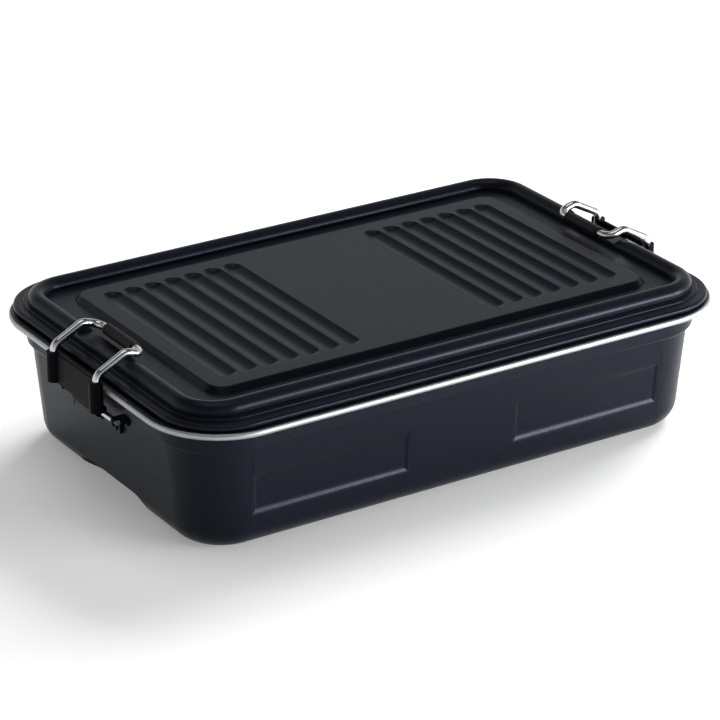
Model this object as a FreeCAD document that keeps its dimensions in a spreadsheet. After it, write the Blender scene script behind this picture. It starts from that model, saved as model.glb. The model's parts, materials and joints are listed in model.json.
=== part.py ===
import FreeCAD, Part
import math
import os
import Sketcher

# A pressed steel lunch box: a drawn base pan with a bare rolled rim, a beaded and fluted lid with a
# silicone seal, and a wire-bail latch on each short end. Millimetres, +Z up, +X along the long side,
# origin on the table under the middle of the base.

doc = FreeCAD.newDocument("lunch_box")

# Driving dimensions: alias, value, what it measures
dimensions = [
    ("rimLength", 234, "outside length of the bare steel rim"),
    ("rimWidth", 153.4, "outside width of the bare steel rim"),
    ("rimRadius", 29.5, "plan corner radius of the rim"),
    ("sheetGauge", 0.8, "gauge of the pressed steel"),
    ("bandSize", 2.6, "depth and height of the rolled rim's round edge"),
    ("bandMiddle", 49.4, "height of the middle of the rolled rim"),
    ("flangeTop", 49.6, "top of the base flange that carries the seal"),
    ("collarLength", 222.8, "outside length of the collar under the rim"),
    ("collarWidth", 140.3, "outside width of the collar"),
    ("collarRadius", 24.3, "plan corner radius of the collar"),
    ("collarFoot", 39.5, "height where the collar steps in to the wall"),
    ("collarRound", 1.6, "round under the collar"),
    ("wallTop", 41.2, "height where the drafted wall ends inside the collar"),
    ("wallInset", 1.8, "step from the collar in to the wall"),
    ("wallDraft", 3.85, "how far the wall leans in from its top to the table"),
    ("floorRound", 9, "round between wall and floor"),
    ("pocketReach", 108.2, "distance from the middle to the flat behind each latch"),
    ("pocketWidth", 44, "width of that flat"),
    ("pocketFoot", 22, "height below which the flat has run out into the wall"),
    ("scoopReach", 110.3, "distance from the middle to a finger scoop's axis"),
    ("scoopDrop", 3.4, "depth of that axis below the table"),
    ("scoopRadius", 11.4, "radius of the finger scoop"),
    ("scoopLength", 34, "straight length of the finger scoop"),
    ("panelNear", 22.5, "distance from the middle to the near edge of a wall panel"),
    ("panelFar", 86.5, "distance from the middle to the far edge of a wall panel"),
    ("panelFoot", 13.6, "height of a wall panel's lower edge"),
    ("panelHead", 29.8, "height of a wall panel's upper edge"),
    ("panelDepth", 1.0, "depth of a wall panel"),
    ("panelSlope", 1.7, "width of a wall panel's sloped border"),
    ("lipLength", 228, "length of the lid over its rolled lip"),
    ("lipWidth", 149.7, "width of the lid over its rolled lip"),
    ("lipRadius", 24.2, "plan corner radius of the rolled lip"),
    ("lipFoot", 51.0, "height of the lip's lower edge"),
    ("brimTop", 53.3, "height of the lid's brim"),
    ("brimRound", 1.1, "round of the rolled lip, above and below"),
    ("hemWidth", 2.0, "width of the rolled lip"),
    ("stepLength", 221.2, "length of the small step inside the brim"),
    ("stepWidth", 140.8, "width of the small step"),
    ("stepRadius", 20, "plan corner radius of the small step"),
    ("stepTop", 54.0, "height of the small step"),
    ("stepRound", 0.45, "round on the small step's edge"),
    ("ridgeLength", 211.2, "length of the lid's bead along its crest"),
    ("ridgeWidth", 127.6, "width of the bead along its crest"),
    ("ridgeHalf", 3.4, "half the width of the bead"),
    ("ridgeTop", 58.2, "height of the bead's crest"),
    ("ridgeRadius", 13.6, "plan corner radius of the bead's crest"),
    ("channelTop", 54.4, "height of the flat channel inside the bead"),
    ("plateauLength", 183, "length of the raised panel's top"),
    ("plateauWidth", 101.6, "width of the raised panel's top"),
    ("plateauRadius", 6, "plan corner radius of the raised panel's top"),
    ("plateauTop", 56.5, "height of the raised panel"),
    ("plateauSlope", 2.1, "run of the raised panel's sloped border"),
    ("plateauRound", 0.9, "round on the raised panel's edge"),
    ("fluteCount", 7, "flutes in each group"),
    ("flutePitch", 8.4, "spacing of the flutes"),
    ("fluteFirst", 31, "distance from the middle to the first flute"),
    ("fluteLength", 88.4, "length of a flute along the lid"),
    ("fluteRadius", 6.5, "radius of a flute's hollow"),
    ("fluteDepth", 1.3, "depth of a flute"),
    ("saddleLength", 38, "length of the low saddle in the bead under each bail"),
    ("saddleDrop", 1.9, "depth of the saddle"),
    ("saddleRound", 2.5, "round at the saddle's ends"),
    ("sealLength", 223.8, "outside length of the seal"),
    ("sealWidth", 145.4, "outside width of the seal"),
    ("sealRadius", 22.1, "plan corner radius of the seal"),
    ("sealBreadth", 2.0, "breadth of the seal"),
    ("sealLift", 0.05, "running gap between seal and flange"),
    ("pinReach", 113.6, "distance from the middle to a hinge pin"),
    ("pinHeight", 37.4, "height of a hinge pin"),
    ("pinRadius", 1.1, "radius of a hinge pin"),
    ("pinLength", 40.8, "length of a hinge pin"),
    ("bracketGauge", 1.2, "gauge of the latch bracket"),
    ("bracketWidth", 38.8, "width of the bracket over its ears"),
    ("bracketFoot", 29.6, "height of the bracket's lower edge"),
    ("bracketHead", 45.2, "height of the bracket's upper edge"),
    ("bracketWaist", 34.7, "height where the bracket narrows to its lower tab"),
    ("tabWidth", 28, "width of the bracket's lower tab"),
    ("earRadius", 1.8, "radius of a bracket ear round the pin"),
    ("rivetRadius", 0.9, "radius of a rivet's shank"),
    ("rivetHead", 1.5, "radius of a rivet's head"),
    ("rivetCap", 0.6, "height of a rivet's head"),
    ("rivetPitch", 10.75, "spacing of the rivets along the bracket"),
    ("rivetLow", 31.4, "height of the lower rivets"),
    ("rivetHigh", 42.6, "height of the upper rivets"),
    ("tubeReach", 118.8, "distance from the middle to a lever's rolled tubes"),
    ("tubeSpan", 31.4, "spacing of a lever's two tubes"),
    ("tubeRadius", 2.8, "outside radius of a rolled tube"),
    ("rollReach", 117.6, "distance from the middle to the open back of the rolled tubes"),
    ("tubeFoot", 41.4, "height of the tubes' lower ends"),
    ("tubeTop", 52.6, "height of the tubes' upper ends"),
    ("leverGauge", 1.2, "gauge of the lever plate"),
    ("knuckleRadius", 2.4, "outside radius of the lever's knuckle"),
    ("knuckleWidth", 16.6, "width of the lever's knuckle"),
    ("pinClearance", 0.06, "running clearance of the knuckle on its pin"),
    ("wireRadius", 1.5, "radius of the bail wire"),
    ("wireFoot", 42.5, "height of the wire's lower ends in the tubes"),
    ("shoulderHeight", 54.8, "height where a leg bends in over the lid"),
    ("humpReach", 107.2, "distance from the middle to the top of the bail's hump"),
    ("humpHeight", 61.0, "height of the hump's corner"),
    ("barReach", 100.3, "distance from the middle to the bail's crossbar"),
    ("barHeight", 58.9, "height of the crossbar"),
    ("bendRadius", 3.8, "bend radius of the wire"),
    ("gripRadius", 2.2, "outside radius of the grip sleeve"),
    ("gripLength", 20, "length of the grip sleeve"),
    ("gripRound", 0.4, "round at the grip sleeve's ends"),
]

sheet = doc.addObject("Spreadsheet::Sheet", "Dimensions")
for row, (alias, value, note) in enumerate(dimensions, start=1):
    sheet.set("A%d" % row, note)
    sheet.set("B%d" % row, str(value))
    sheet.setAlias("B%d" % row, alias)
doc.recompute()


def cell(alias):
    return "Dimensions." + alias


def measure(expression):
    return float(sheet.evalExpression(expression))


def newBody(name):
    return doc.addObject("PartDesign::Body", name)


def originPlane(body, role):
    for feature in body.Origin.OriginFeatures:
        if feature.Role == role:
            return feature
    raise RuntimeError("no plane " + role)


def newSketch(body, name, role="XY_Plane", height=None):
    sketch = body.newObject("Sketcher::SketchObject", name)
    sketch.AttachmentSupport = [(originPlane(body, role), "")]
    sketch.MapMode = "FlatFace"
    if height:
        sketch.setExpression("AttachmentOffset.Base.z", height)
    return sketch


def drive(sketch, constraint, name, expression):
    index = sketch.addConstraint(constraint)
    sketch.renameConstraint(index, name)
    sketch.setExpression("Constraints." + name, expression)


# A rectangle with rounded corners about the origin: four sides and four tangent arcs
def roundedOutline(sketch, length, width, radius, tag=""):
    halfX = measure(length) / 2
    halfY = measure(width) / 2
    corner = measure(radius)
    first = sketch.GeometryCount
    quarter = math.pi / 2
    signs = [(1, 1), (-1, 1), (-1, -1), (1, -1)]
    for turn, (signX, signY) in enumerate(signs):
        middle = FreeCAD.Vector(signX * (halfX - corner), signY * (halfY - corner), 0)
        circle = Part.Circle(middle, FreeCAD.Vector(0, 0, 1), corner)
        sketch.addGeometry(Part.ArcOfCircle(circle, turn * quarter, (turn + 1) * quarter))
    for turn in range(4):
        start = sketch.getPoint(first + turn, 2)
        end = sketch.getPoint(first + (turn + 1) % 4, 1)
        sketch.addGeometry(Part.LineSegment(start, end))
    for turn in range(4):
        side = first + 4 + turn
        sketch.addConstraint(Sketcher.Constraint("Tangent", first + turn, 2, side, 1))
        sketch.addConstraint(Sketcher.Constraint("Tangent", side, 2, first + (turn + 1) % 4, 1))
        direction = "Horizontal" if turn % 2 == 0 else "Vertical"
        sketch.addConstraint(Sketcher.Constraint(direction, side))
    for turn in range(3):
        sketch.addConstraint(Sketcher.Constraint("Equal", first + turn, first + turn + 1))
    sketch.addConstraint(Sketcher.Constraint("Symmetric", first, 3, first + 2, 3, -1, 1))
    drive(sketch, Sketcher.Constraint("Radius", first, corner), "corner" + tag, radius)
    drive(sketch, Sketcher.Constraint("DistanceX", first + 1, 3, first, 3, 2 * (halfX - corner)),
          "spanX" + tag, "%s - 2 * (%s)" % (length, radius))
    drive(sketch, Sketcher.Constraint("DistanceY", first + 3, 3, first, 3, 2 * (halfY - corner)),
          "spanY" + tag, "%s - 2 * (%s)" % (width, radius))


# A closed outline of straight sides whose corners are bound to the sheet
def polygonOutline(sketch, corners):
    points = [FreeCAD.Vector(measure(across), measure(up), 0) for across, up in corners]
    count = len(points)
    for index in range(count):
        sketch.addGeometry(Part.LineSegment(points[index], points[(index + 1) % count]))
    for index in range(count):
        sketch.addConstraint(Sketcher.Constraint("Coincident", index, 2, (index + 1) % count, 1))
    for index, (across, up) in enumerate(corners):
        point = points[index]
        drive(sketch, Sketcher.Constraint("DistanceX", -1, 1, index, 1, point.x), "across%d" % index, across)
        drive(sketch, Sketcher.Constraint("DistanceY", -1, 1, index, 1, point.y), "up%d" % index, up)


def pad(body, name, sketch, length, bothWays=False, kind="PartDesign::Pad"):
    feature = body.newObject(kind, name)
    feature.Profile = sketch
    feature.setExpression("Length", length)
    if bothWays:
        feature.Midplane = True
    doc.recompute()
    return feature


# Names of the level edges that run round a rounded rectangle of the given size
def levelLoop(shape, height, length, width):
    halfX = length / 2
    halfY = width / 2
    names = []
    for index, edge in enumerate(shape.Edges, start=1):
        box = edge.BoundBox
        if abs(box.ZMin - height) > 1e-3 or abs(box.ZMax - height) > 1e-3:
            continue
        reachX = max(abs(box.XMin), abs(box.XMax))
        reachY = max(abs(box.YMin), abs(box.YMax))
        if abs(reachX - halfX) < 1e-3 or abs(reachY - halfY) < 1e-3:
            names.append("Edge%d" % index)
    return names


def roundLoop(body, name, base, height, length, width, radius):
    loop = levelLoop(base.Shape, measure(height), measure(length), measure(width))
    if len(loop) != 8:
        raise RuntimeError("%s found %d edges" % (name, len(loop)))
    feature = body.newObject("PartDesign::Fillet", name)
    feature.Base = (base, loop)
    feature.setExpression("Radius", radius)
    doc.recompute()
    return feature


def inset(alias, amount):
    return "(%s - 2 * (%s))" % (cell(alias), amount)


def fuse(name, pieces):
    feature = doc.addObject("Part::MultiFuse", name)
    feature.Shapes = pieces
    return feature


def cut(name, base, tool):
    feature = doc.addObject("Part::Cut", name)
    feature.Base = base
    feature.Tool = tool
    return feature


def place(feature, x="0", y="0", z="0"):
    feature.setExpression("Placement.Base.x", x)
    feature.setExpression("Placement.Base.y", y)
    feature.setExpression("Placement.Base.z", z)


def turnAbout(feature, axis, degrees):
    feature.Placement = FreeCAD.Placement(FreeCAD.Vector(), FreeCAD.Rotation(axis, degrees))


upright = FreeCAD.Vector(0, 0, 1)
lengthwise = FreeCAD.Vector(1, 0, 0)
crosswise = FreeCAD.Vector(0, 1, 0)
gauge = cell("sheetGauge")
ends = (("right", 1), ("left", -1))


def box(name, sizes, corner):
    feature = doc.addObject("Part::Box", name)
    for side, size in zip(("Length", "Width", "Height"), sizes):
        feature.setExpression(side, size)
    place(feature, *corner)
    return feature


# A rod along Y, from the middle of its length
def crossRod(name, radius, length, reach, height):
    feature = doc.addObject("Part::Cylinder", name)
    feature.setExpression("Radius", radius)
    feature.setExpression("Height", length)
    turnAbout(feature, lengthwise, -90)
    place(feature, reach, "-(%s) / 2" % length, height)
    return feature


# A rod along Y with ball ends
def crossCapsule(name, radius, length, reach, height):
    pieces = [crossRod(name + "_rod", radius, length, reach, height)]
    for end, sign in (("near", "-1"), ("far", "1")):
        ball = doc.addObject("Part::Sphere", "%s_%s" % (name, end))
        ball.setExpression("Radius", radius)
        place(ball, reach, "%s * (%s) / 2" % (sign, length), height)
        pieces.append(ball)
    return fuse(name, pieces)


# Lean the upright faces of a pad in (-1) or out (1) towards its foot, keeping its top outline
def leanWall(body, name, wall, angle, way):
    faces = []
    top = wall.Shape.BoundBox.ZMax
    for index, face in enumerate(wall.Shape.Faces, start=1):
        if face.BoundBox.ZLength > 1e-3:
            faces.append("Face%d" % index)
        elif abs(face.CenterOfMass.z - top) < 1e-3:
            head = "Face%d" % index
    lean = body.newObject("PartDesign::Draft", name)
    lean.Base = (wall, faces)
    lean.NeutralPlane = (wall, [head])
    lean.setExpression("Angle", angle)
    lean.Reversed = True
    doc.recompute()
    if (lean.Shape.Volume - wall.Shape.Volume) * way < 0:
        lean.Reversed = False
        doc.recompute()
    return lean


# Base pan: the outside and the inside are shaped alike, one gauge apart, and cut from each other
def panForm(name, skin):
    body = newBody(name)
    amount = cell("wallInset") + " + " + skin
    wallLength = inset("collarLength", amount)
    wallWidth = inset("collarWidth", amount)
    outline = newSketch(body, name + "_outline", height=skin)
    roundedOutline(outline, wallLength, wallWidth, "%s - (%s)" % (cell("collarRadius"), amount))
    wall = pad(body, name + "_wall", outline, "%s - %s" % (cell("wallTop"), skin))
    lean = leanWall(body, name + "_lean", wall, "atan(%s / %s)" % (cell("wallDraft"), cell("wallTop")), -1)
    run = "%s * (%s - %s) / %s" % (cell("wallDraft"), cell("wallTop"), skin, cell("wallTop"))
    radius = "%s - %s" % (cell("floorRound"), skin)
    roundLoop(body, name + "_round", lean, skin, "(%s - 2 * %s)" % (wallLength, run),
              "(%s - 2 * %s)" % (wallWidth, run), radius)
    return body


panOutside = panForm("pan_outside", "0")
collar = newSketch(panOutside, "collar_outline", height=cell("collarFoot"))
roundedOutline(collar, cell("collarLength"), cell("collarWidth"), cell("collarRadius"))
collarPad = pad(panOutside, "collar", collar, cell("flangeTop") + " - " + cell("collarFoot"))
collarRound = roundLoop(panOutside, "collar_round", collarPad, cell("collarFoot"), cell("collarLength"),
                        cell("collarWidth"), cell("collarRound"))
flange = newSketch(panOutside, "flange_outline", height=cell("flangeTop") + " - " + gauge)
roundedOutline(flange, inset("rimLength", cell("bandSize")), inset("rimWidth", cell("bandSize")),
               "%s - %s" % (cell("rimRadius"), cell("bandSize")))
pad(panOutside, "flange", flange, gauge)

panInside = panForm("pan_inside", gauge)
mouth = newSketch(panInside, "mouth_outline", height=cell("wallTop"))
roundedOutline(mouth, inset("collarLength", gauge), inset("collarWidth", gauge),
               "%s - %s" % (cell("collarRadius"), gauge))
pad(panInside, "mouth", mouth, cell("flangeTop"))


# What is pressed in from outside, grown by the skin where it shows inside
def pressings(name, skin):
    tools = []
    for end, sign in ends:
        flat = box("%s_flat_%s" % (name, end),
                   (cell("pocketReach"), cell("pocketWidth") + " + 2 * " + skin,
                    "%s - %s - %s + 2 * %s" % (cell("flangeTop"), gauge, cell("pocketFoot"), skin)),
                   (cell("pocketReach") + " - " + skin,
                    "-%s / 2 - %s" % (cell("pocketWidth"), skin),
                    cell("pocketFoot") + " - " + skin))
        scoop = crossCapsule("%s_scoop_%s" % (name, end), cell("scoopRadius") + " + " + skin,
                             cell("scoopLength"), cell("scoopReach"), "-" + cell("scoopDrop"))
        if sign < 0:
            mirrored = []
            for tool in (flat, scoop):
                copy = doc.addObject("Part::Mirroring", tool.Name + "_turned")
                copy.Source = tool
                copy.Normal = lengthwise
                mirrored.append(copy)
            tools.extend(mirrored)
        else:
            tools.extend((flat, scoop))
    lean = math.degrees(math.atan(measure(cell("wallDraft")) / measure(cell("wallTop"))))
    wallFoot = "(%s / 2 - %s - %s)" % (cell("collarWidth"), cell("wallInset"), cell("wallDraft"))
    for face, turn in (("front", 0), ("back", 180)):
        for end, sign in ends:
            panel = doc.addObject("Part::Wedge", "%s_panel_%s_%s" % (name, face, end))
            near = cell("panelNear") + " - " + skin
            far = cell("panelFar") + " + " + skin
            spans = (near, far) if sign > 0 else ("-(%s)" % far, "-(%s)" % near)
            panel.setExpression("Xmin", spans[0])
            panel.setExpression("Xmax", spans[1])
            panel.setExpression("X2min", spans[0] + " + " + cell("panelSlope"))
            panel.setExpression("X2max", spans[1] + " - " + cell("panelSlope"))
            panel.setExpression("Zmin", cell("panelFoot") + " - " + skin)
            panel.setExpression("Zmax", cell("panelHead") + " + " + skin)
            panel.setExpression("Z2min", cell("panelFoot") + " + " + cell("panelSlope") + " - " + skin)
            panel.setExpression("Z2max", cell("panelHead") + " - " + cell("panelSlope") + " + " + skin)
            panel.setExpression("Ymin", "0")
            panel.setExpression("Ymax", cell("panelDepth") + " + " + skin)
            tilt = FreeCAD.Rotation(lengthwise, lean)
            seat = FreeCAD.Placement(FreeCAD.Vector(0, -measure(wallFoot), 0), tilt)
            spin = FreeCAD.Placement(FreeCAD.Vector(), FreeCAD.Rotation(upright, turn))
            panel.Placement = spin.multiply(seat)
            tools.append(panel)
    return fuse(name, tools)


# Rivets hold each bracket to the flat behind it
def rivetPlaces():
    pitch = cell("rivetPitch")
    lower = [("-" + pitch, cell("rivetLow")), ("0", cell("rivetLow")), (pitch, cell("rivetLow"))]
    return lower + [("-" + pitch, cell("rivetHigh")), (pitch, cell("rivetHigh"))]


# A short rod along X, outwards from its reach
def outwardRod(name, radius, length, reach, across, height):
    feature = doc.addObject("Part::Cylinder", name)
    feature.setExpression("Radius", radius)
    feature.setExpression("Height", length)
    turnAbout(feature, crosswise, 90)
    place(feature, reach, across, height)
    return feature


def rivetShanks(name):
    reach = cell("pocketReach") + " - " + gauge
    length = gauge + " + " + cell("bracketGauge")
    shanks = []
    for index, (across, height) in enumerate(rivetPlaces()):
        rod = outwardRod("%s_%d" % (name, index), cell("rivetRadius"), length, reach, across, height)
        shanks.append(rod)
    return shanks


def turned(name, source):
    copy = doc.addObject("Part::Feature", name)
    copy.Shape = source.Shape
    spin = FreeCAD.Placement(FreeCAD.Vector(), FreeCAD.Rotation(upright, 180))
    copy.Placement = spin.multiply(source.Placement)
    return copy


pressedOutside = cut("pressed_outside", panOutside, pressings("outer_pressings", "0"))
pressedInside = cut("pressed_inside", panInside, pressings("inner_pressings", gauge))
panShell = cut("pan_shell", pressedOutside, pressedInside)
rightHoles = fuse("right_rivet_holes", rivetShanks("right_hole"))
doc.recompute()
leftHoles = turned("left_rivet_holes", rightHoles)
basePan = cut("base_pan", panShell, fuse("rivet_holes", [rightHoles, leftHoles]))

# Bare steel band rolled round the flange's edge
rimBand = newBody("rim_band")
bandPath = newSketch(rimBand, "band_path", height=cell("bandMiddle"))
roundedOutline(bandPath, inset("rimLength", cell("bandSize")), inset("rimWidth", cell("bandSize")),
               "%s - %s" % (cell("rimRadius"), cell("bandSize")))
bandSection = newSketch(rimBand, "band_section", role="XZ_Plane")
half = measure(cell("bandSize")) / 2
inner = measure(cell("rimLength")) / 2 - 2 * half
middle = measure(cell("bandMiddle"))
roundCentre = FreeCAD.Vector(inner + half, middle, 0)
bandSection.addGeometry(Part.ArcOfCircle(Part.Circle(roundCentre, upright, half), -math.pi / 2, math.pi / 2))
sides = [(half, half, 0, half), (0, half, 0, -half), (0, -half, half, -half)]
for startX, startZ, endX, endZ in sides:
    start = FreeCAD.Vector(inner + startX, middle + startZ, 0)
    end = FreeCAD.Vector(inner + endX, middle + endZ, 0)
    bandSection.addGeometry(Part.LineSegment(start, end))
bandSection.addConstraint(Sketcher.Constraint("Tangent", 0, 2, 1, 1))
bandSection.addConstraint(Sketcher.Constraint("Coincident", 1, 2, 2, 1))
bandSection.addConstraint(Sketcher.Constraint("Coincident", 2, 2, 3, 1))
bandSection.addConstraint(Sketcher.Constraint("Tangent", 3, 2, 0, 1))
bandSection.addConstraint(Sketcher.Constraint("Vertical", 2))
bandSection.addConstraint(Sketcher.Constraint("Horizontal", 1))
drive(bandSection, Sketcher.Constraint("Radius", 0, half), "round", cell("bandSize") + " / 2")
drive(bandSection, Sketcher.Constraint("DistanceX", -1, 1, 0, 3, inner + half), "reach",
      "(%s - %s) / 2" % (cell("rimLength"), cell("bandSize")))
drive(bandSection, Sketcher.Constraint("DistanceY", -1, 1, 0, 3, middle), "level", cell("bandMiddle"))
drive(bandSection, Sketcher.Constraint("DistanceX", 1, 2, 1, 1, half), "flat", cell("bandSize") + " / 2")
bandSweep = rimBand.newObject("PartDesign::AdditivePipe", "band_sweep")
bandSweep.Profile = bandSection
bandSweep.Spine = (bandPath, ["Edge%d" % (index + 1) for index in range(8)])
doc.recompute()


# Lid: outside and underside are shaped alike, one gauge apart
def lidForm(name, skin):
    body = newBody(name)
    under = cell("lipFoot") + " - " + skin

    # A rounded rectangle kept as one outline of the lid, drawn in by an amount
    def outlineOf(alias, amount):
        return (inset(alias + "Length", amount), inset(alias + "Width", amount),
                "%s - (%s)" % (cell(alias + "Radius"), amount))

    def layer(label, outline, top):
        sketch = newSketch(body, "%s_%s_outline" % (name, label), height=under)
        roundedOutline(sketch, *outline)
        return pad(body, "%s_%s" % (name, label), sketch, "%s - (%s)" % (top, under))

    def edgeRound(label, base, height, outline, radius):
        return roundLoop(body, "%s_%s" % (name, label), base, height, outline[0], outline[1], radius)

    brimTop = cell("brimTop") + " - " + skin
    stepTop = cell("stepTop") + " - " + skin
    crest = cell("ridgeTop") + " - " + skin
    step = outlineOf("step", skin)
    if skin == "0":
        lip = outlineOf("lip", "0")
        curl = edgeRound("curl", layer("brim", lip, brimTop), brimTop, lip, cell("brimRound"))
        edgeRound("curl_foot", curl, under, lip, cell("brimRound"))
        edgeRound("step_round", layer("step", step, stepTop), stepTop, step, cell("stepRound"))
    else:
        layer("brim", outlineOf("lip", cell("hemWidth")), brimTop)
        layer("step", step, stepTop)
    half = "%s - %s" % (cell("ridgeHalf"), skin)
    outer = outlineOf("ridge", "-(%s)" % half)
    inner = outlineOf("ridge", half)
    layer("ridge", outer, crest)
    channel = newSketch(body, name + "_channel_outline", height=crest)
    roundedOutline(channel, *inner)
    sunk = pad(body, name + "_channel", channel, "%s - %s" % (cell("ridgeTop"), cell("channelTop")),
               kind="PartDesign::Pocket")
    shoulder = edgeRound("ridge_outer_round", sunk, crest, outer, half + " - 0.05")
    edgeRound("ridge_inner_round", shoulder, crest, inner, half + " - 0.05")

    panel = newBody(name + "_plateau_body")
    outline = newSketch(panel, name + "_plateau_outline", height=cell("channelTop") + " - " + skin)
    shrink = "2 * %s * 0.4" % skin
    length = "(%s - %s)" % (cell("plateauLength"), shrink)
    width = "(%s - %s)" % (cell("plateauWidth"), shrink)
    roundedOutline(outline, length, width, cell("plateauRadius"))
    rise = "(%s - %s)" % (cell("plateauTop"), cell("channelTop"))
    raised = pad(panel, name + "_plateau", outline, rise)
    lean = leanWall(panel, name + "_plateau_lean", raised, "atan(%s / %s)" % (cell("plateauSlope"), rise), 1)
    if skin == "0":
        roundLoop(panel, name + "_plateau_round", lean, cell("plateauTop"), length, width,
                  cell("plateauRound"))
    return fuse(name + "_form", [body, panel])


# Flutes hollowed in the plateau, and the saddle in the bead under each bail
def lidHollows(name, skin):
    tools = []
    depth = "(%s + %s - %s)" % (cell("plateauTop"), cell("fluteRadius"), cell("fluteDepth"))
    halfWidth = "sqrt(2 * %s * %s - %s ^ 2)" % (cell("fluteRadius"), cell("fluteDepth"), cell("fluteDepth"))
    straight = "(%s - 2 * %s)" % (cell("fluteLength"), halfWidth)
    for end, sign in ends:
        for index in range(int(measure(cell("fluteCount")))):
            reach = "%d * (%s + %d * %s)" % (sign, cell("fluteFirst"), index, cell("flutePitch"))
            tools.append(crossCapsule("%s_flute_%s_%d" % (name, end, index),
                                      cell("fluteRadius") + " + " + skin, straight, reach, depth))
        crestOffset = cell("ridgeLength") + " / 2"
        width = "2 * %s + 2" % cell("ridgeHalf")
        floor = "%s - %s - %s" % (cell("ridgeTop"), cell("saddleDrop"), skin)
        body = newBody("%s_saddle_%s" % (name, end))
        section = newSketch(body, "%s_saddle_section_%s" % (name, end), role="YZ_Plane",
                            height="%d * (%s)" % (sign, crestOffset))
        halfLength = cell("saddleLength") + " / 2"
        ramp = "(%s - %s)" % (halfLength, cell("saddleRound"))
        head = "%s + %s" % (floor, "2 * " + cell("saddleRound"))
        corners = [("-" + ramp, floor), (ramp, floor), (halfLength + " + " + cell("saddleRound"), head),
                   ("-%s - %s" % (halfLength, cell("saddleRound")), head)]
        polygonOutline(section, corners)
        pad(body, "%s_saddle_cut_%s" % (name, end), section, width, bothWays=True)
        tools.append(body)
    return fuse(name, tools)


lidOutside = cut("lid_outside_hollowed", lidForm("lid_outside", "0"), lidHollows("lid_hollows", "0"))
lidUnderside = cut("lid_underside_hollowed", lidForm("lid_underside", gauge),
                   lidHollows("underside_hollows", gauge))
lidPan = cut("lid_pan", lidOutside, lidUnderside)

# Flat silicone seal under the brim
lidGasket = newBody("lid_gasket")
sealOutline = newSketch(lidGasket, "seal_outline", height=cell("flangeTop") + " + " + cell("sealLift"))
for tag, amount in (("Outer", "0"), ("Inner", cell("sealBreadth"))):
    roundedOutline(sealOutline, inset("sealLength", amount), inset("sealWidth", amount),
                   "%s - %s" % (cell("sealRadius"), amount), tag)
pad(lidGasket, "seal", sealOutline,
    "%s - %s - %s - %s" % (cell("brimTop"), gauge, cell("flangeTop"), cell("sealLift")))


# Latch bracket: a plate on the flat with an ear at each end for the pin
def makeBracket(name):
    body = newBody(name + "_body")
    plateFace = cell("pocketReach") + " + " + cell("bracketGauge")
    plates = []
    for label, width, foot, head in (("plate", "bracketWidth", "bracketWaist", "bracketHead"),
                                     ("tab", "tabWidth", "bracketFoot", "bracketWaist")):
        plates.append(box("%s_%s" % (name, label),
                          (cell("bracketGauge"), cell(width), "%s - %s" % (cell(head), cell(foot))),
                          (cell("pocketReach"), "-%s / 2" % cell(width), cell(foot))))
    ears = newSketch(body, name + "_ear_outline", role="XZ_Plane")
    low = "%s - %s" % (cell("pinHeight"), cell("earRadius"))
    high = "%s + %s" % (cell("pinHeight"), cell("earRadius"))
    corners = [(plateFace, low), (cell("pinReach"), low), (cell("pinReach"), high), (plateFace, high)]
    polygonOutline(ears, corners)
    pad(body, name + "_ears", ears, cell("bracketWidth"), bothWays=True)
    ends = crossRod(name + "_ear_ends", cell("earRadius"), cell("bracketWidth"), cell("pinReach"),
                    cell("pinHeight"))
    between = "%s - 2 * %s" % (cell("bracketWidth"), cell("bracketGauge"))
    gap = box(name + "_gap", (cell("tubeReach"), between, cell("tubeTop")),
              (plateFace, "-(%s) / 2" % between, "0"))
    bore = crossRod(name + "_bore", cell("pinRadius"), cell("pinLength"), cell("pinReach"),
                    cell("pinHeight"))
    eared = fuse(name + "_eared", [body, ends])
    open = cut(name + "_open", eared, gap)
    whole = fuse(name + "_whole", plates + [open])
    return cut(name, whole, fuse(name + "_holes", [bore] + rivetShanks(name + "_hole")))


def makeRivets(name):
    pieces = []
    inside = cell("pocketReach") + " - " + gauge + " - " + cell("rivetCap")
    outside = cell("pocketReach") + " + " + cell("bracketGauge")
    shanks = rivetShanks(name + "_shank")
    for index, (across, height) in enumerate(rivetPlaces()):
        heads = []
        for label, reach in (("inner", inside), ("outer", outside)):
            heads.append(outwardRod("%s_%s_%d" % (name, label, index), cell("rivetHead"), cell("rivetCap"),
                                    reach, across, height))
        pieces.append(fuse("%s_rivet_%d" % (name, index), [shanks[index]] + heads))
    doc.recompute()
    group = doc.addObject("Part::Feature", name)
    group.Shape = Part.makeCompound([piece.Shape for piece in pieces])
    return group


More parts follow.
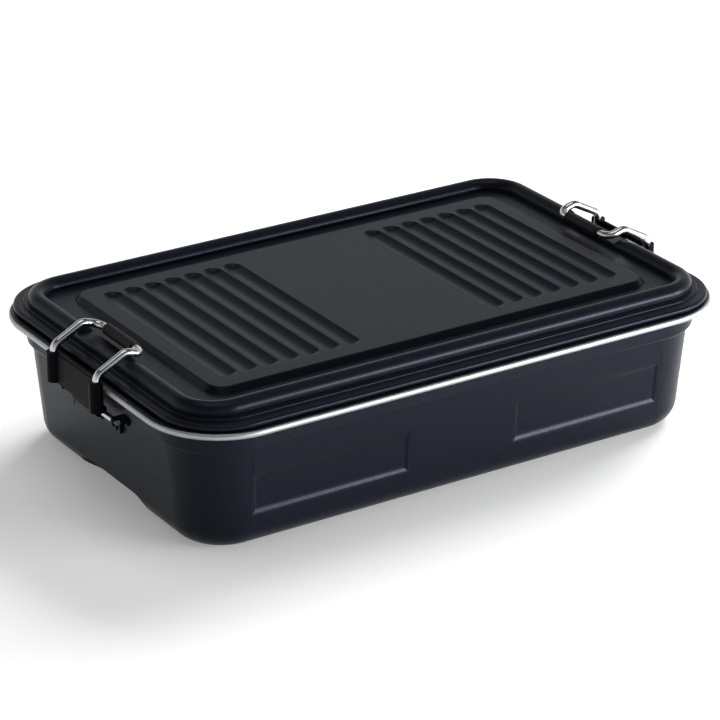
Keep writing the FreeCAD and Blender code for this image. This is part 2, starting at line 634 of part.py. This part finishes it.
# Lever: a plate whose side edges roll into open-backed tubes and whose foot wraps the pin
def makeLever(name):
    tongue = newBody(name + "_tongue")
    section = newSketch(tongue, name + "_section", role="XZ_Plane")
    face = cell("tubeReach") + " - " + cell("leverGauge") + " / 2"
    front = cell("tubeReach") + " + " + cell("leverGauge") + " / 2"
    bend = cell("tubeFoot") + " + " + cell("leverGauge")
    pinX = cell("pinReach")
    pinZ = cell("pinHeight")
    corners = [(pinX, "%s - %s" % (pinZ, cell("knuckleRadius"))), (front, cell("tubeFoot")), (front, bend),
               (face, bend), (pinX, "%s + %s" % (pinZ, cell("pinRadius")))]
    polygonOutline(section, corners)
    pad(tongue, name + "_web", section, cell("knuckleWidth"), bothWays=True)
    knuckle = crossRod(name + "_knuckle", cell("knuckleRadius"), cell("knuckleWidth"), pinX, pinZ)
    plateHeight = "%s - %s" % (cell("tubeTop"), cell("tubeFoot"))
    plate = box(name + "_plate", (cell("leverGauge"), cell("tubeSpan"), plateHeight),
                (face, "-%s / 2" % cell("tubeSpan"), cell("tubeFoot")))
    solids = [tongue, knuckle, plate]
    hollows = [crossRod(name + "_bore", "%s + %s" % (cell("pinRadius"), cell("pinClearance")),
                        cell("knuckleWidth") + " + 2", pinX, pinZ)]
    for side, sign in (("near", "-1"), ("far", "1")):
        across = "%s * %s / 2" % (sign, cell("tubeSpan"))
        for kind, radius, group in (("tube", "tubeRadius", solids), ("socket", "wireRadius", hollows)):
            rod = doc.addObject("Part::Cylinder", "%s_%s_%s" % (name, kind, side))
            rod.setExpression("Radius", cell(radius))
            rod.setExpression("Height", plateHeight)
            place(rod, cell("tubeReach"), across, cell("tubeFoot"))
            group.append(rod)
    depth = "2 * " + cell("tubeRadius")
    back = box(name + "_open_back", (depth, "%s + 2 * %s" % (cell("tubeSpan"), depth), cell("tubeTop")),
               ("%s - %s" % (cell("rollReach"), depth), "-%s / 2 - %s" % (cell("tubeSpan"), depth), bend))
    hollows.append(back)
    return cut(name, fuse(name + "_solids", solids), fuse(name + "_hollows", hollows))


# A path of straight runs joined by tangent arcs of one radius
def bentPath(points, radius):
    edges = []
    start = points[0]
    for before, corner, after in zip(points, points[1:], points[2:]):
        inward = (before - corner).normalize()
        outward = (after - corner).normalize()
        half = inward.getAngle(outward) / 2
        setback = radius / math.tan(half)
        bisector = (inward + outward).normalize()
        centre = corner + bisector * (radius / math.sin(half))
        entry = corner + inward * setback
        leave = corner + outward * setback
        edges.append(Part.LineSegment(start, entry).toShape())
        edges.append(Part.Arc(entry, centre - bisector * radius, leave).toShape())
        start = leave
    edges.append(Part.LineSegment(start, points[-1]).toShape())
    return Part.Wire(edges)


# Bail: one wire, up from both tubes, in over the lid and across behind the bead
def makeBail(name):
    span = measure(cell("tubeSpan")) / 2
    route = [("tubeReach", "wireFoot"), ("tubeReach", "shoulderHeight"), ("humpReach", "humpHeight"),
             ("barReach", "barHeight")]
    near = [FreeCAD.Vector(measure(cell(reach)), -span, measure(cell(height))) for reach, height in route]
    far = [FreeCAD.Vector(point.x, span, point.z) for point in reversed(near)]
    path = bentPath(near + far, measure(cell("bendRadius")))
    foot = Part.Circle(near[0], upright, measure(cell("wireRadius")))
    section = Part.Wire([foot.toShape()])
    wire = doc.addObject("Part::Feature", name)
    wire.Shape = path.makePipeShell([section], True, False)
    expected = math.pi * measure(cell("wireRadius")) ** 2 * path.Length
    print("%s volume %.1f of %.1f" % (name, wire.Shape.Volume, expected))
    return wire


def makeSleeve(name):
    outside = crossRod(name + "_outside", cell("gripRadius"), cell("gripLength"), cell("barReach"),
                       cell("barHeight"))
    doc.recompute()
    rounded = doc.addObject("Part::Fillet", name + "_rounded")
    rounded.Base = outside
    radius = measure(cell("gripRound"))
    circles = [index for index, edge in enumerate(outside.Shape.Edges, start=1) if edge.isClosed()
               and isinstance(edge.Curve, Part.Circle)]
    rounded.Edges = [(index, radius, radius) for index in circles]
    bore = crossRod(name + "_bore", cell("wireRadius"), cell("gripLength") + " + 2", cell("barReach"),
                    cell("barHeight"))
    return cut(name, rounded, bore)


def makePin(name):
    return crossRod(name, cell("pinRadius"), cell("pinLength"), cell("pinReach"), cell("pinHeight"))


makers = [("latch_bracket", makeBracket), ("bracket_rivets", makeRivets), ("pivot_pin", makePin),
          ("latch_lever", makeLever), ("wire_bail", makeBail), ("grip_sleeve", makeSleeve)]
nodes = [basePan, rimBand, lidPan, lidGasket]
for label, maker in makers:
    right = maker("right_" + label)
    doc.recompute()
    nodes.extend((right, turned("left_" + label, right)))
doc.recompute()

for feature in doc.Objects:
    if "Invalid" in feature.State or "Error" in feature.State:
        raise RuntimeError("%s failed: %s" % (feature.Name, feature.State))
for node in nodes:
    node.Label = node.Name
    if node.Shape.isNull() or not node.Shape.isValid():
        raise RuntimeError("bad solid " + node.Name)

os.makedirs("parts", exist_ok=True)
for node in nodes:
    node.Shape.exportStep("parts/%s.step" % node.Label)
    print("%-22s %d solids, %.1f mm3" % (node.Label, len(node.Shape.Solids), node.Shape.Volume))
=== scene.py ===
import json
import math
import bmesh
import bpy
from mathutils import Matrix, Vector


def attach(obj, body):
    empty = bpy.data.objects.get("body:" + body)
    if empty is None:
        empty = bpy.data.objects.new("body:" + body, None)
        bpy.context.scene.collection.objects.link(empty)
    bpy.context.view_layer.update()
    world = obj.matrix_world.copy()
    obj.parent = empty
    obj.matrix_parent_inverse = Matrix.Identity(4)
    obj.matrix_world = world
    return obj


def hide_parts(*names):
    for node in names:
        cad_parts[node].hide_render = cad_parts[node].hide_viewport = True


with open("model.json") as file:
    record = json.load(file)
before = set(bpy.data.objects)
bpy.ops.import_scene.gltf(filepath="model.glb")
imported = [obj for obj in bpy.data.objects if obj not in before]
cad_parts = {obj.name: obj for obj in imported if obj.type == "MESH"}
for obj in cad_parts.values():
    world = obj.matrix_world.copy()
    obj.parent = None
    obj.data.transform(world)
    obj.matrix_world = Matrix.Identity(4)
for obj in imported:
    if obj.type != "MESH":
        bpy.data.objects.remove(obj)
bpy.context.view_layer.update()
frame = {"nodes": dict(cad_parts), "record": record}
millimetre = 0.001
print("frame loaded:", len(frame["nodes"]), "nodes")


# Colours are written as sRGB hex and used as linear
def linear(hexColour):
    channels = []
    for start in (1, 3, 5):
        value = int(hexColour[start:start + 2], 16) / 255
        channels.append(value / 12.92 if value <= 0.04045 else ((value + 0.055) / 1.055) ** 2.4)
    return (*channels, 1.0)


# Adds one node and sets its properties; each input is a value to set or a socket to link
def addNode(tree, kind, inputs=None, **props):
    node = tree.nodes.new(kind)
    for name, value in props.items():
        setattr(node, name, value)
    for socket, value in (inputs or {}).items():
        if isinstance(value, bpy.types.NodeSocket):
            tree.links.new(value, node.inputs[socket])
        else:
            node.inputs[socket].default_value = value
    return node


def newMaterial(name):
    material = bpy.data.materials.new(name)
    material.use_nodes = True
    material.node_tree.nodes.clear()
    return material, material.node_tree


def addOutput(tree, shader, kind="ShaderNodeOutputMaterial"):
    addNode(tree, kind, {"Surface": shader.outputs[0]})


def objectPlace(tree):
    return addNode(tree, "ShaderNodeTexCoord").outputs["Object"]


# A noise is given as its size in millimetres, its detail and its roughness
def addNoise(tree, place, noise):
    size, detail, roughness = noise
    return addNode(tree, "ShaderNodeTexNoise", {
        "Vector": place, "Scale": 1 / (size * millimetre), "Detail": detail, "Roughness": roughness,
    }).outputs["Fac"]


# The range that most of a noise falls in
noiseRange = (0.3, 0.7)


def remap(tree, source, fromRange, toRange, interpolation="LINEAR"):
    return addNode(tree, "ShaderNodeMapRange", {
        "Value": source,
        "From Min": fromRange[0], "From Max": fromRange[1],
        "To Min": toRange[0], "To Max": toRange[1],
    }, interpolation_type=interpolation).outputs["Result"]


# A mix node's sockets share their names, so they go by number: first, second, result
mixSockets = {"RGBA": (6, 7, 2), "FLOAT": (2, 3, 0)}


def mix(tree, kind, factor, first, second):
    firstSocket, secondSocket, resultSocket = mixSockets[kind]
    node = addNode(tree, "ShaderNodeMix", {
        0: factor, firstSocket: first, secondSocket: second,
    }, data_type=kind)
    return node.outputs[resultSocket]


def addMath(tree, operation, *terms):
    return addNode(tree, "ShaderNodeMath", dict(enumerate(terms)), operation=operation).outputs[0]


# Depths are in millimetres
def addBump(tree, height, depth, inputs=None):
    return addNode(tree, "ShaderNodeBump", {
        "Height": height, "Strength": 1.0, "Distance": depth * millimetre, **(inputs or {}),
    }).outputs["Normal"]


# Powder coat on pressed steel: baked resin, so a satin skin with fine orange peel and faint speckle
powderCoat = {
    "colour": "#0b0e16",
    "fleckColour": "#121621",
    "shineColour": "#e0ebff",
    "fleckNoise": (0.9, 4.0, 0.7),
    "fleckRange": (0.45, 0.72),
    "peelNoise": (1.6, 2.0, 0.5),
    "peelDepth": 0.006,
    "grainNoise": (0.45, 3.0, 0.6),
    "grainDepth": 0.0025,
    "roughness": (0.31, 0.37),
    "ior": 1.24,
}


def powderCoatMaterial(settings):
    material, tree = newMaterial("satin_powder_coat")
    place = objectPlace(tree)
    peel = addNoise(tree, place, settings["peelNoise"])
    grain = addNoise(tree, place, settings["grainNoise"])
    fleck = addNoise(tree, place, settings["fleckNoise"])
    fleckMask = remap(tree, fleck, settings["fleckRange"], (0.0, 1.0))
    peelBump = addBump(tree, peel, settings["peelDepth"])
    addOutput(tree, addNode(tree, "ShaderNodeBsdfPrincipled", {
        "IOR": settings["ior"],
        "Specular Tint": linear(settings["shineColour"]),
        "Base Color": mix(tree, "RGBA", fleckMask, linear(settings["colour"]),
                          linear(settings["fleckColour"])),
        "Roughness": remap(tree, peel, noiseRange, settings["roughness"]),
        "Normal": addBump(tree, grain, settings["grainDepth"], {"Normal": peelBump}),
    }))
    return material


# Stainless steel, rolled or drawn and left bare: bright, with a fine unevenness that blurs its
# reflections. On the rim the coating still covers the upper side, down to an uneven edge.
bareSteel = {
    "colour": "#d2d3d5",
    "dullColour": "#bcbec1",
    "rimColour": "#b2b4b8",
    "rimDullColour": "#a2a4a8",
    "lineNoise": (0.7, 3.0, 0.6),
    "lineDepth": 0.002,
    "smudgeNoise": (9.0, 3.0, 0.55),
    "rimRoughness": (0.44, 0.52),
    "polishedRoughness": (0.2, 0.27),
    "paintColour": "#0b0e16",
    "paintRoughness": 0.42,
    "paintEdge": 50.5,
    "paintBlur": 0.03,
    "paintWander": 0.14,
    "wanderNoise": (2.5, 2.0, 0.5),
}


# How far the paint covers the rim: 1 above the edge, 0 below it
def paintCover(tree, place, settings):
    wander = addNoise(tree, place, settings["wanderNoise"])
    height = addNode(tree, "ShaderNodeSeparateXYZ", {"Vector": place}).outputs["Z"]
    drift = addMath(tree, "MULTIPLY_ADD", wander, settings["paintWander"] * millimetre, height)
    edge = settings["paintEdge"] + settings["paintWander"] / 2
    blur = settings["paintBlur"]
    return remap(tree, drift, ((edge - blur) * millimetre, (edge + blur) * millimetre), (0.0, 1.0))


def bareSteelMaterial(name, settings, painted):
    material, tree = newMaterial(name)
    place = objectPlace(tree)
    lines = addNoise(tree, place, settings["lineNoise"])
    smudge = addNoise(tree, place, settings["smudgeNoise"])
    clean, dull = ("rimColour", "rimDullColour") if painted else ("colour", "dullColour")
    colour = mix(tree, "RGBA", smudge, linear(settings[clean]), linear(settings[dull]))
    roughness = remap(tree, smudge, noiseRange,
                      settings["rimRoughness" if painted else "polishedRoughness"])
    metallic = 1.0
    if painted:
        cover = paintCover(tree, place, settings)
        colour = mix(tree, "RGBA", cover, colour, linear(settings["paintColour"]))
        roughness = mix(tree, "FLOAT", cover, roughness, settings["paintRoughness"])
        metallic = addMath(tree, "SUBTRACT", 1.0, cover)
    addOutput(tree, addNode(tree, "ShaderNodeBsdfPrincipled", {
        "Base Color": colour,
        "Metallic": metallic,
        "Roughness": roughness,
        "Normal": addBump(tree, lines, settings["lineDepth"]),
    }))
    return material


# Satin black enamel on the levers: near black, with a soft sheen
latchEnamel = {
    "name": "satin_black_enamel",
    "colour": "#08090b",
    "paleColour": "#0d0e11",
    "skinNoise": (1.1, 4.0, 0.6),
    "skinDepth": 0.006,
    "roughness": (0.34, 0.42),
    "ior": 1.1,
}
# Rubber of the grip sleeves: black and dull, with a fine tooth
gripRubber = {
    "name": "matte_black_rubber",
    "colour": "#0b0b0d",
    "paleColour": "#121214",
    "skinNoise": (0.5, 4.0, 0.6),
    "skinDepth": 0.015,
    "roughness": (0.5, 0.62),
    "ior": 1.28,
}
# Silicone of the seal: dark grey and dull
sealSilicone = {
    "name": "grey_silicone",
    "colour": "#35373b",
    "paleColour": "#404347",
    "skinNoise": (0.8, 4.0, 0.6),
    "skinDepth": 0.01,
    "roughness": (0.5, 0.62),
    "ior": 1.41,
}


def skinnedMaterial(settings):
    material, tree = newMaterial(settings["name"])
    skin = addNoise(tree, objectPlace(tree), settings["skinNoise"])
    addOutput(tree, addNode(tree, "ShaderNodeBsdfPrincipled", {
        "IOR": settings["ior"],
        "Base Color": mix(tree, "RGBA", skin, linear(settings["colour"]),
                          linear(settings["paleColour"])),
        "Roughness": remap(tree, skin, noiseRange, settings["roughness"]),
        "Normal": addBump(tree, skin, settings["skinDepth"]),
    }))
    return material


finishes = {
    "powder_coat": powderCoatMaterial(powderCoat),
    "bare_steel": bareSteelMaterial("polished_stainless_steel", bareSteel, False),
    "black_enamel": skinnedMaterial(latchEnamel),
    "grip_rubber": skinnedMaterial(gripRubber),
    "silicone": skinnedMaterial(sealSilicone),
}
rimFinish = bareSteelMaterial("part_coated_stainless_steel", bareSteel, True)
print("materials made:", len(finishes) + 1)


# The wall panels are drawn, so their borders run softly into the wall
wallPanels = {
    "near": 22.0,
    "far": 87.0,
    "foot": 13.0,
    "head": 30.4,
    "wall": 62.0,
    "borderAngle": (25.0, 36.0),
    "softness": 0.92,
    "segments": 5,
}


def softenPanels(work, settings):
    low, high = (math.radians(angle) for angle in settings["borderAngle"])
    edges = []
    for edge in work.edges:
        middle = (edge.verts[0].co + edge.verts[1].co) / (2 * millimetre)
        along = settings["near"] < abs(middle.x) < settings["far"]
        upright = settings["foot"] < middle.z < settings["head"]
        onWall = abs(middle.y) > settings["wall"]
        if along and upright and onWall and low < edge.calc_face_angle() < high:
            edges.append(edge)
    bmesh.ops.bevel(work, geom=edges, offset=settings["softness"] * millimetre, affect="EDGES",
                    segments=settings["segments"], profile=0.5, material=-1)
    print("panel edges softened:", len(edges))


# Each CAD node is shown by a merged copy with smooth shading, so the pressings read as one skin
skins = {"mergeDistance": 0.002, "sharpAngle": 24.0, "wireSharpAngle": 70.0, "faceWeight": 80}


def bodyOf(nodeName):
    for body, members in frame["record"]["behaviour"]["bodies"].items():
        if nodeName in members:
            return body


def addSkin(nodeName, slotName):
    work = bmesh.new()
    work.from_mesh(frame["nodes"][nodeName].data)
    bmesh.ops.remove_doubles(work, verts=work.verts, dist=skins["mergeDistance"] * millimetre)
    if nodeName == "base_pan":
        softenPanels(work, wallPanels)
    mesh = bpy.data.meshes.new(nodeName + "_skin")
    work.to_mesh(mesh)
    work.free()
    if "custom_normal" in mesh.attributes:  # belongs to the unmerged triangles
        mesh.attributes.remove(mesh.attributes["custom_normal"])
    mesh.shade_smooth()
    sharpAngle = skins["wireSharpAngle" if nodeName.endswith("wire_bail") else "sharpAngle"]
    mesh.set_sharp_from_angle(angle=math.radians(sharpAngle))
    mesh.materials.clear()
    mesh.materials.append(rimFinish if nodeName == "rim_band" else finishes[slotName])
    skin = bpy.data.objects.new(nodeName + "_skin", mesh)
    bpy.context.scene.collection.objects.link(skin)
    weighted = skin.modifiers.new("even_shading", "WEIGHTED_NORMAL")
    weighted.keep_sharp = True
    weighted.weight = skins["faceWeight"]
    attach(skin, bodyOf(nodeName))
    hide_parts(nodeName)


for part in frame["record"]["subparts"]:
    addSkin(part["node"], part["material_slot"])

# Floor, white to the camera and in reflections, which still takes the shadow
floorStage = {"size": 6.0, "colour": "#f7f7f7", "glow": 0.2}


def floorMaterial(settings):
    material, tree = newMaterial("studio_floor")
    path = addNode(tree, "ShaderNodeLightPath")
    seen = path.outputs["Is Camera Ray"]
    for ray in ("Is Glossy Ray", "Is Transmission Ray"):
        seen = addMath(tree, "MAXIMUM", seen, path.outputs[ray])
    matte = addNode(tree, "ShaderNodeBsdfDiffuse", {"Color": linear(settings["colour"])})
    glow = addNode(tree, "ShaderNodeEmission", {
        "Strength": addMath(tree, "MULTIPLY", seen, settings["glow"]),
    })
    addOutput(tree, addNode(tree, "ShaderNodeAddShader", {0: matte.outputs[0], 1: glow.outputs[0]}))
    return material


floorMesh = bpy.data.meshes.new("floor")
floorWork = bmesh.new()
bmesh.ops.create_grid(floorWork, x_segments=1, y_segments=1, size=floorStage["size"] / 2)
floorWork.to_mesh(floorMesh)
floorWork.free()
floorMesh.materials.append(floorMaterial(floorStage))
floor = bpy.data.objects.new("floor", floorMesh)
bpy.context.scene.collection.objects.link(floor)

# Studio: a pale band low down, brighter at the back, a dim ceiling and a pale patch straight above
studio = {
    "frontHorizon": 0.45,
    "backHorizon": 0.95,
    "frontToBack": (-0.7, 0.1),
    "ceiling": 0.03,
    "band": (0.1, 0.85),
    "patch": 1.4,
    "patchEdge": (0.91, 0.95),
}


def studioWorld(settings):
    world = bpy.data.worlds.new("studio")
    world.use_nodes = True
    tree = world.node_tree
    tree.nodes.clear()
    direction = addNode(tree, "ShaderNodeTexCoord").outputs["Generated"]
    axes = addNode(tree, "ShaderNodeSeparateXYZ", {"Vector": direction}).outputs
    horizon = remap(tree, axes["Y"], settings["frontToBack"],
                    (settings["frontHorizon"], settings["backHorizon"]))
    band = remap(tree, axes["Z"], settings["band"], (horizon, settings["ceiling"]), "SMOOTHSTEP")
    patch = remap(tree, axes["Z"], settings["patchEdge"], (0.0, settings["patch"]), "SMOOTHSTEP")
    light = addNode(tree, "ShaderNodeBackground", {
        "Color": (1, 1, 1, 1), "Strength": addMath(tree, "ADD", band, patch),
    })
    addOutput(tree, light, "ShaderNodeOutputWorld")
    return world


bpy.context.scene.world = studioWorld(studio)

lamps = {
    "front_right_softbox": {
        "at": (0.5, -0.62, 0.1), "size": (0.56, 0.14), "power": 9.5, "mirrored": True,
    },
    "back_right_softbox": {
        "at": (1.15, 0.55, 0.95), "size": (1.1, 0.9), "power": 31, "mirrored": False,
    },
}
lookAt = Vector((0, 0, 0.03))
for name, settings in lamps.items():
    light = bpy.data.lights.new(name, "AREA")
    light.shape = "RECTANGLE"
    light.size, light.size_y = settings["size"]
    light.energy = settings["power"]
    lamp = bpy.data.objects.new(name, light)
    lamp.location = settings["at"]
    lamp.visible_glossy = settings["mirrored"]
    lamp.rotation_euler = (lookAt - lamp.location).to_track_quat("-Z", "Y").to_euler()
    bpy.context.scene.collection.objects.link(lamp)
print("studio set:", len(lamps), "lamps")

# Camera fitted to the photograph's straight lines
view = {
    "at": (-0.60644, -0.94699, 0.52555),
    "towards": (0.49253, 0.77001, -0.40559),
    "lens": 166.38,
    "sensor": 36.0,
    "clipStart": 0.01,
}
camera = bpy.data.cameras.new("camera")
camera.lens = view["lens"]
camera.sensor_width = view["sensor"]
camera.clip_start = view["clipStart"]
eye = bpy.data.objects.new("camera", camera)
eye.location = view["at"]
eye.rotation_euler = Vector(view["towards"]).to_track_quat("-Z", "Y").to_euler()
bpy.context.scene.collection.objects.link(eye)
bpy.context.scene.camera = eye
bpy.context.scene.view_settings.view_transform = "Standard"
